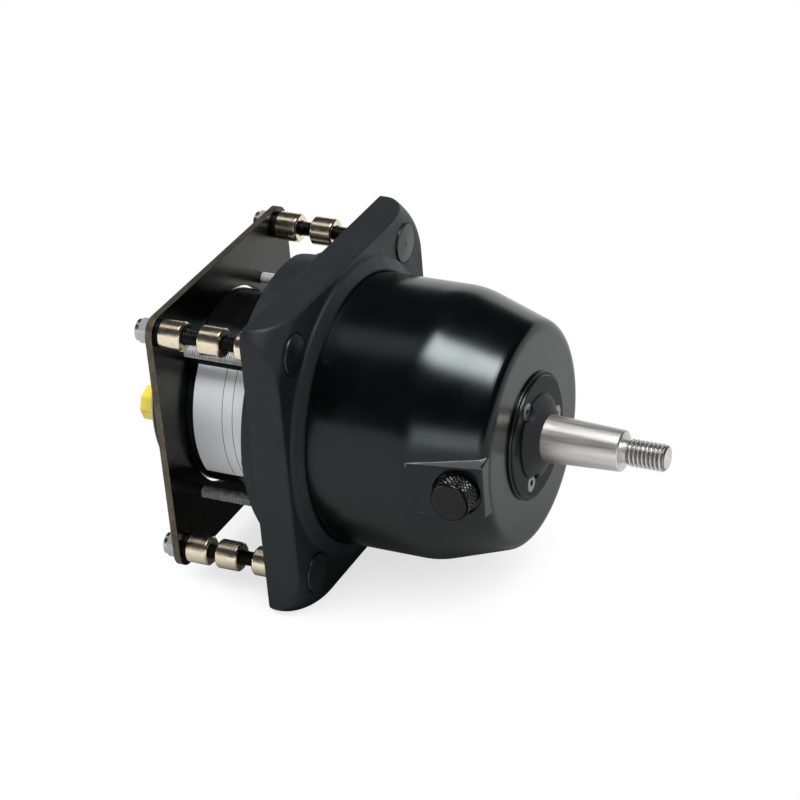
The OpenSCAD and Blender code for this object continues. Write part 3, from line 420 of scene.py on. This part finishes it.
MATERIALS = {
    "housing_paint": housing("housing_paint"),
    "casting_paint": painted("casting_paint", (0.003, 0.003, 0.0032), 0.1, 0.18, level=0.4, edge=0.0),
    "retainer_metal": painted("retainer_metal", (0.004, 0.0046, 0.0047), 0.2, 0.3, 0.000004, face_level=0.045),
    "flange_plastic": flange_plastic("flange_plastic"),
    "cap_plastic": moulded("cap_plastic", (0.008, 0.0098, 0.011), 0.26, 0.36, level=0.45, edge=0.0008),
    "plug_plastic": knob_plastic("plug_plastic"),
    "seal_rubber": moulded("seal_rubber", (0.019, 0.0212, 0.022), 0.45, 0.6, 0.00001, 1800, level=0.2),
    "plate_steel": sheet("plate_steel"),
    "spacer_zinc": metal("spacer_zinc", YELLOW_ZINC, 0.15, 0.27, 160, edge=0.0003),
    "black_oxide": metal("black_oxide", OXIDE, 0.3, 0.45, 200),
    "bright_zinc": metal("bright_zinc", ZINC, 0.16, 0.32, 150),
    "stud_zinc": metal("stud_zinc", PALE_ZINC, 0.2, 0.34, 150, roots=STUD_ROOTS, metallic=0.25),
    "screw_steel": metal("screw_steel", SCREW_STEEL, 0.3, 0.4, 200),
    "shaft_steel": metal("shaft_steel", SHAFT_STEEL, 0.32, 0.42, 12, stretch=(1, 40, 40), scratch=0.0000003,
                         turned=True, roots=SHAFT_ROOTS),
    "bearing_steel": metal("bearing_steel", BALL_STEEL, 0.12, 0.22, 120),
    "bronze": metal("bronze", BRONZE, 0.25, 0.4, 100),
    "iron": metal("iron", IRON, 0.35, 0.5, 120),
    "nylon": moulded("nylon", (0.68, 0.67, 0.62), 0.35, 0.5),
    "cap_yellow": moulded("cap_yellow", (0.97, 0.78, 0.085), 0.28, 0.42, 0.00001, 500),
    "label_silver": bare_label("label_silver"),
}

# The record's material slot of each CAD node, and the nodes that look a little unlike the others of their slot
SLOTS = {row["node"]: row["material_slot"] for row in frame["record"]["subparts"]}
OWN_LOOK = {"bolt_caps": "cap_plastic", "retainer_screws": "screw_steel"}


def dress_nodes():
    """Every CAD node takes the material of its slot in the record, or its own look."""
    for name, slot in SLOTS.items():
        node = frame["nodes"][name]
        material = MATERIALS[OWN_LOOK.get(name, slot)]
        if not node.material_slots:
            node.data.materials.append(material)
        for entry in node.material_slots:
            entry.material = material


def thread_cut(share):
    """Depth of a thread's groove, 0 on the crest to 1 at the root, at a share of one pitch."""
    crest, flank = 0.12, 0.74
    return min(1.0, max(0.0, (abs(2 * share - 1) - crest) / flank))


def thread_rows(x0, x1, r, pitch, depth, chamfer, steps):
    """Rows of a threaded rod from x0 to x1, with that many rows to a pitch: (x, radius at an angle)."""
    count = round((x1 - x0) / pitch * steps)
    rows = []
    for k in range(count + 1):
        x = x0 + (x1 - x0) * k / count
        edge = r - max(0.0, chamfer - min(x - x0, x1 - x))

        def radius(angle, x=x, edge=edge):
            share = (x / pitch - angle / math.tau) % 1.0
            return min(edge, r - depth * thread_cut(share))

        rows.append((x, radius))
    return rows


def plain_rows(points):
    """Rows of a turned rod from (x, radius) points."""
    return [(x, lambda angle, r=r: r) for x, r in points]


def swept(rows, sides, centre=(0.0, 0.0)):
    """Vertices and faces of rows joined along X round a centre in Y and Z, in millimetres, closed at both ends."""
    verts, faces = [], []
    for x, radius in rows:
        for k in range(sides):
            angle = math.tau * k / sides
            r = radius(angle)
            verts.append((x, centre[0] + r * math.cos(angle), centre[1] + r * math.sin(angle)))
    for i in range(len(rows) - 1):
        for k in range(sides):
            a, b = i * sides + k, i * sides + (k + 1) % sides
            faces.append((a, b, b + sides, a + sides))
    faces.append(tuple(range(sides - 1, -1, -1)))
    last = (len(rows) - 1) * sides
    faces.append(tuple(last + k for k in range(sides)))
    return verts, faces


def add_piece(name, parts, body, slot, replaced, look=None):
    """A mesh of several closed parts, dressed, riding on a body and standing for a CAD node."""
    verts, faces = [], []
    for part_verts, part_faces in parts:
        start = len(verts)
        verts += [Vector(v) * MM for v in part_verts]
        faces += [tuple(i + start for i in f) for f in part_faces]
    mesh = bpy.data.meshes.new(name)
    mesh.from_pydata(verts, [], faces)
    mesh.validate()
    mesh.shade_smooth()
    mesh.set_sharp_from_angle(angle=CREASE)
    mesh.materials.append(MATERIALS[look or slot])
    obj = bpy.data.objects.new(name, mesh)
    SCENE.collection.objects.link(obj)
    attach(obj, body)
    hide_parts(replaced)


def add_check_springs():
    """The lock valve's two springs, each a copy of its CAD node's mesh, riding on the pump in place of that node.
    """
    for side, outward in (("upper", 1), ("lower", -1)):
        node = "poppet_spring_" + side
        spring = bpy.data.objects.new("check_spring_" + side, frame["nodes"][node].data.copy())
        SCENE.collection.objects.link(spring)
        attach(spring, "pump")
        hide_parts(node)
        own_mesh(spring)


def hex_radius(corner):
    """Radius of a hexagon's outline at an angle, from the radius of its corners."""
    flat = corner * math.cos(math.pi / 6)
    return lambda angle: flat / math.cos((angle % (math.pi / 3)) - math.pi / 6)


def add_bolts():
    """Corner bolts with real threads and socket heads."""
    tail, thread_end, head_base, socket_floor, head_top = -53.9, 2.0, 6.0, 8.8, 12.0
    shank_r, head_r, socket = 3.0, 5.0, hex_radius(2.9)
    rows = thread_rows(tail, thread_end, shank_r, pitch=1.0, depth=0.6, chamfer=0.8, steps=6)
    rows += plain_rows([(thread_end, shank_r), (head_base, shank_r), (head_base, head_r), (head_top, head_r)])
    rows += [(head_top, socket), (socket_floor, socket)]
    parts = [swept(rows, 24, (sy * BOLT_HALF, sz * BOLT_HALF)) for sy, sz in CORNERS]
    add_piece("threaded_corner_bolts", parts, "pump", "black_oxide", "corner_bolts")


def add_studs():
    """Plate studs with real threads."""
    rows = thread_rows(-52.0, -1.0, 2.5, pitch=0.8, depth=0.48, chamfer=0.5, steps=8)
    parts = [swept(rows, 32, (sy * STUD_HALF, sz * STUD_HALF)) for sy, sz in CORNERS]
    add_piece("threaded_plate_studs", parts, "pump", "bright_zinc", "plate_studs", "stud_zinc")


def add_shaft():
    """Steering shaft with its rotor flats, taper, undercut and threaded end."""
    drive_r, flat_half = 8.0, 6.4

    def flats(angle):
        return min(drive_r, flat_half / max(abs(math.sin(angle)), 1e-6))

    rows = plain_rows([(-49.85, 6.0), (-40.95, 6.0)])  # journal in the rear bush
    rows += [(-40.95, flats), (-11.95, flats)]  # flats that drive the rotor
    rows += plain_rows([
        (-11.95, 9.8), (67.5, 9.8),
        (67.5, 8.8), (69.0, 8.8),  # groove of the clip behind the bearing
        (69.0, 10.0), (81.0, 10.0),  # seat of the bearing
        (81.0, 11.5), (83.0, 11.5),  # shoulder
        (83.0, 9.525), (97.6, 9.525),  # seat of the seal
        (128.6, 8.2125), (129.1, 7.7125),  # taper and its chamfer
        (129.1, 4.65), (131.1, 4.65),  # undercut
    ])
    rows += thread_rows(131.1, 147.1, 5.55, pitch=1.75, depth=0.95, chamfer=1.2, steps=12)
    add_piece("turned_shaft", [swept(rows, 96)], "shaft_group", "shaft_steel", "shaft")


def knob_rows():
    """Rows of the filler plug from its stem to its top: (height, radius at an angle)."""
    teeth, depth, rise, flat_share = 24, 0.45, 0.33, 1.3
    stem_r, stem_len = 6.0, 8.0
    low, high, count = KNOB_BASE + 0.5, KNOB_TOP - 2.1, 48

    def knurled(height):
        lean = rise * (height - KNOB_BASE) * teeth / KNOB_R / 2

        def radius(angle):
            turn = teeth * angle / math.tau
            groove = min(abs(2 * ((turn + lean) % 1.0) - 1), abs(2 * ((turn - lean) % 1.0) - 1))
            return KNOB_R - depth * max(0.0, 1 - groove * flat_share)
        return height, radius

    rows = plain_rows([(KNOB_BASE - stem_len, stem_r), (KNOB_BASE, stem_r), (KNOB_BASE, KNOB_R - 0.4),
                       (low - 0.1, KNOB_R - 0.05)])
    rows += [knurled(low + (high - low) * k / count) for k in range(count + 1)]
    # A groove above the knurl, the rim and the slightly domed top
    rows += plain_rows([(high + 0.1, KNOB_R - 0.3), (high + 0.35, KNOB_R - 0.3), (high + 0.5, KNOB_R),
                        (KNOB_TOP - 0.95, KNOB_R), (KNOB_TOP - 0.5, KNOB_R - 0.2), (KNOB_TOP - 0.25, KNOB_R - 0.6),
                        (KNOB_TOP - 0.16, KNOB_R - 1.2), (KNOB_TOP - 0.05, KNOB_R - 4.5), (KNOB_TOP, 0.2)])
    return rows


def add_knob():
    """Filler plug with a diamond knurl and a bare, slightly domed top."""
    verts, faces = swept(knob_rows(), 352)
    placed = [(FILLER_X + y, -x, FILLER_Z + z) for x, y, z in verts]
    add_piece("knurled_filler_plug", [(placed, faces)], "filler_knob", "plug_plastic", "filler_plug")


def stage_material():
    """White floor and backdrop: white to the eye and in reflections, shaded close to the object."""
    material = bpy.data.materials.new("studio_white")
    material.use_nodes = True
    nodes, links = material.node_tree.nodes, material.node_tree.links
    nodes.clear()
    path = nodes.new("ShaderNodeLightPath")
    open_share = nodes.new("ShaderNodeAmbientOcclusion")
    open_share.samples = 16
    open_share.inputs["Distance"].default_value = SHADE_REACH

    def larger(a, b):
        node = nodes.new("ShaderNodeMath")
        node.operation = "MAXIMUM"
        links.new(a, node.inputs[0])
        links.new(b, node.inputs[1])
        return node.outputs[0]

    def shade(low, high, dark):
        """Brightness from dark beside the object to white in the open."""
        node = nodes.new("ShaderNodeMapRange")
        for socket, value in {"From Min": low, "From Max": high, "To Min": dark, "To Max": 1.0}.items():
            node.inputs[socket].default_value = value
        links.new(open_share.outputs["AO"], node.inputs["Value"])
        return node.outputs["Result"]

    seen = larger(path.outputs["Is Camera Ray"], path.outputs["Is Glossy Ray"])
    seen = larger(seen, path.outputs["Is Transmission Ray"])
    strength = nodes.new("ShaderNodeMix")
    links.new(path.outputs["Is Camera Ray"], strength.inputs["Factor"])
    links.new(shade(0.3, 0.97, 0.05), strength.inputs["A"])
    links.new(shade(0.1, 0.5, 0.7), strength.inputs["B"])
    diffuse = nodes.new("ShaderNodeBsdfDiffuse")
    diffuse.inputs["Color"].default_value = (0.8, 0.8, 0.8, 1.0)
    glow = nodes.new("ShaderNodeEmission")
    links.new(strength.outputs["Result"], glow.inputs["Strength"])
    mix = nodes.new("ShaderNodeMixShader")
    links.new(seen, mix.inputs["Fac"])
    links.new(diffuse.outputs[0], mix.inputs[1])
    links.new(glow.outputs[0], mix.inputs[2])
    links.new(mix.outputs[0], nodes.new("ShaderNodeOutputMaterial").inputs["Surface"])
    return material


def add_stage():
    """A wide floor that turns up into a low round backdrop."""
    sides = 64
    rings = [(9.0, 0.0), (11.0, 0.35), (12.0, 1.2), (12.3, 3.0)]
    verts = [(0.0, 0.0, FLOOR_Z)]
    faces = []
    for r, z in rings:
        for k in range(sides):
            angle = math.tau * k / sides
            verts.append((r * math.cos(angle), r * math.sin(angle), FLOOR_Z + z))
    for k in range(sides):
        n = (k + 1) % sides
        faces.append((0, 1 + k, 1 + n))
        for i in range(len(rings) - 1):
            a = 1 + i * sides
            faces.append((a + k, a + sides + k, a + sides + n, a + n))
    mesh = bpy.data.meshes.new("studio_floor")
    mesh.from_pydata(verts, [], faces)
    mesh.shade_smooth()
    mesh.materials.append(stage_material())
    floor = bpy.data.objects.new("studio_floor", mesh)
    SCENE.collection.objects.link(floor)


def add_softbox(name, direction, distance, width, height, radiance):
    """A rectangular light that shines on the part, given as a direction from it and the brightness of its face."""
    data = bpy.data.lights.new(name, "AREA")
    data.shape = "RECTANGLE"
    data.size = width
    data.size_y = height
    data.energy = math.pi * width * height * radiance
    light = bpy.data.objects.new(name, data)
    toward = Vector(direction).normalized()
    light.location = LIGHT_AIM + toward * distance
    light.rotation_euler = toward.to_track_quat("Z", "Y").to_euler()
    light.visible_camera = False
    SCENE.collection.objects.link(light)


def add_soft_edged_box(name, direction, distance, width, height, radiance, layers=4, core=0.45):
    """A softbox that fades towards its edges: boxes that grow from a core at one place, and add up."""
    for k in range(layers):
        grow = core + (1 - core) * k / (layers - 1)
        add_softbox(name + str(k + 1), direction, distance + LAYER_GAP * k, width * grow, height * grow,
                    radiance / layers)


def add_lights():
    """An overhead box, a wide dim top light, a front card, a fill from the left and a dim room."""
    add_soft_edged_box("overhead_box", (0.15, -0.03, 0.98), 1.3, 0.62, 0.74, radiance=22.0, core=0.55)
    add_soft_edged_box("top_fill", (-0.45, -0.05, 0.9), 1.4, 0.6, 0.7, radiance=0.9)
    add_soft_edged_box("front_card", (0.22, -0.93, 0.28), 1.5, 0.62, 0.46, radiance=3.6)
    add_soft_edged_box("left_fill", (-0.72, -0.66, 0.22), 1.5, 0.52, 0.5, radiance=6.5, layers=2)
    world = bpy.data.worlds.new("room")
    world.use_nodes = True
    background = world.node_tree.nodes["Background"]
    background.inputs["Color"].default_value = (0.95, 0.97, 1.0, 1.0)
    background.inputs["Strength"].default_value = 0.035
    SCENE.world = world


add_camera()
dress_nodes()
add_check_springs()
add_bolts()
add_studs()
add_shaft()
add_knob()
add_stage()
add_lights()
SCENE.view_settings.view_transform = "Standard"
